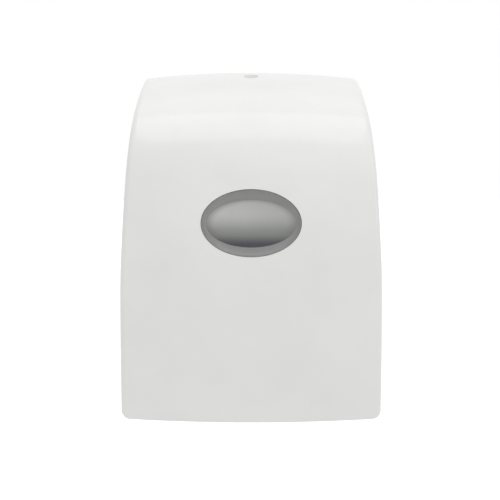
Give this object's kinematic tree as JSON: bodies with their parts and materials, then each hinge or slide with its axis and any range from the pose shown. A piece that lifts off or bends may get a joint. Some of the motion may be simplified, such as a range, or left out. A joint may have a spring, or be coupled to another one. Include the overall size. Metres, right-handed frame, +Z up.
{
  "type": "lever paper towel dispenser",
  "caption": "Wall-mounted roll towel dispenser with a bowed white cover, an oval smoked window and a push lever under its front edge.",
  "frame": {"origin": "on the wall plane, at the middle of the back plate's lower edge, level with the cover's lower edge", "axes": "+X to the user's right, +Y into the wall, +Z up"},
  "size_m": [0.33, 0.24, 0.4716],
  "materials": {
    "white_abs": "gloss moulded white ABS",
    "smoke_lens": "smoked translucent acrylic",
    "grey_abs": "fine-textured light grey ABS",
    "dark_abs": "dark grey ABS",
    "acetal": "natural acetal",
    "zinc_steel": "zinc-plated steel",
    "spring_steel": "spring steel",
    "stainless": "brushed stainless",
    "black_rubber": "moulded rubber",
    "paper_roll": "white paper towel",
    "cardboard": "spiral-wound cardboard"
  },
  "bodies": {
    "chassis": {"back_plate": "grey_abs", "hinge_pins": "zinc_steel", "left_side_frame": "grey_abs", "right_side_frame": "grey_abs", "frame_screws": "zinc_steel", "base_tray": "grey_abs", "tray_screws": "zinc_steel", "rear_paper_guide": "grey_abs", "guide_screws": "zinc_steel", "front_paper_guide": "grey_abs", "tear_bar": "stainless", "tear_bar_screws": "zinc_steel", "left_shaft_bush": "acetal", "right_shaft_bush": "acetal", "lever_pivot_pins": "zinc_steel", "lever_pin_clips": "spring_steel", "idler_stud": "zinc_steel", "idler_clip": "spring_steel", "pinch_pivot_pins": "zinc_steel", "pinch_springs": "spring_steel", "lever_spring_post": "zinc_steel", "lever_spring": "spring_steel", "left_roll_arm": "grey_abs", "right_arm_bracket": "grey_abs", "arm_pivot_pin": "zinc_steel", "arm_screws": "zinc_steel", "lock_strike": "zinc_steel", "strike_screw": "zinc_steel", "towel_web": "paper_roll"},
    "cover": {"front_cover": "white_abs", "window_lens": "smoke_lens", "window_screws": "zinc_steel", "lock_housing": "white_abs", "lock_nut": "zinc_steel"},
    "lock": {"lock_plug": "white_abs", "lock_cam": "zinc_steel", "cam_screw": "zinc_steel"},
    "lever": {"feed_lever": "dark_abs", "lever_pad": "black_rubber", "lever_sector_gear": "acetal", "sector_screws": "zinc_steel"},
    "idler": {"idler_gear": "acetal"},
    "pinion": {"clutch_pinion": "acetal", "one_way_clutch": "zinc_steel"},
    "feed_roller": {"feed_shaft": "zinc_steel", "feed_roller_core": "dark_abs", "feed_roller_sleeves": "black_rubber", "feed_knob": "dark_abs", "shaft_clips": "spring_steel"},
    "pinch_arm": {"pinch_frame": "grey_abs"},
    "pinch_roller": {"pinch_axle": "zinc_steel", "pinch_rollers": "black_rubber"},
    "roll": {"towel_roll": "paper_roll", "roll_core": "cardboard", "left_core_hub": "acetal", "right_core_hub": "acetal"},
    "right_arm": {"right_roll_arm": "grey_abs"}
  },
  "joints": [
    {"name": "cover_hinge", "type": "hinge", "parent": "chassis", "child": "cover", "pos_m": [0, -0.014, 0.014], "axis": [1, 0, 0], "range_deg": [0, 85]},
    {"name": "lock_turn", "type": "hinge", "parent": "cover", "child": "lock", "pos_m": [0, -0.024, 0.43], "axis": [0, 0, 1], "range_deg": [0, 90]},
    {"name": "lever_push", "type": "hinge", "parent": "chassis", "child": "lever", "pos_m": [0, -0.131, 0.129], "axis": [1, 0, 0], "range_deg": [0, 20], "stiffness_Nm_per_rad": 1, "springref_deg": -17.19, "deforming": ["lever_spring"]},
    {"name": "idler_spin", "type": "hinge", "parent": "chassis", "child": "idler", "pos_m": [0.118, -0.06043, 0.11919], "axis": [1, 0, 0], "range_deg": [-108, 1]},
    {"name": "pinion_spin", "type": "hinge", "parent": "chassis", "child": "pinion", "pos_m": [0.118, -0.062, 0.098], "axis": [1, 0, 0], "range_deg": [-1, 121]},
    {"name": "feed_spin", "type": "hinge", "parent": "chassis", "child": "feed_roller", "pos_m": [0, -0.062, 0.098], "axis": [1, 0, 0], "continuous": true},
    {"name": "pinch_frame_open", "type": "hinge", "parent": "chassis", "child": "pinch_arm", "pos_m": [0, -0.112, 0.132], "axis": [-1, 0, 0], "range_deg": [0, 25], "stiffness_Nm_per_rad": 0.5, "springref_deg": -28.65, "deforming": ["pinch_springs"]},
    {"name": "pinch_spin", "type": "hinge", "parent": "pinch_arm", "child": "pinch_roller", "pos_m": [0, -0.1049, 0.098], "axis": [1, 0, 0], "continuous": true},
    {"name": "roll_spin", "type": "hinge", "parent": "chassis", "child": "roll", "pos_m": [0, -0.112, 0.268], "axis": [1, 0, 0], "continuous": true},
    {"name": "right_arm_swing", "type": "hinge", "parent": "chassis", "child": "right_arm", "pos_m": [0.1065, -0.014, 0.268], "axis": [0, 0, 1], "range_deg": [0, 12], "stiffness_Nm_per_rad": 0.8, "springref_deg": -22.92}
  ],
  "couplings": [
    {"joint": "idler_spin", "follows": "lever_push", "ratio": -5.3333},
    {"joint": "pinion_spin", "follows": "lever_push", "ratio": 6},
    {"joint": "roll_spin", "follows": "feed_spin", "ratio": -0.34783},
    {"joint": "pinch_spin", "follows": "feed_spin", "ratio": -3.2}
  ]
}
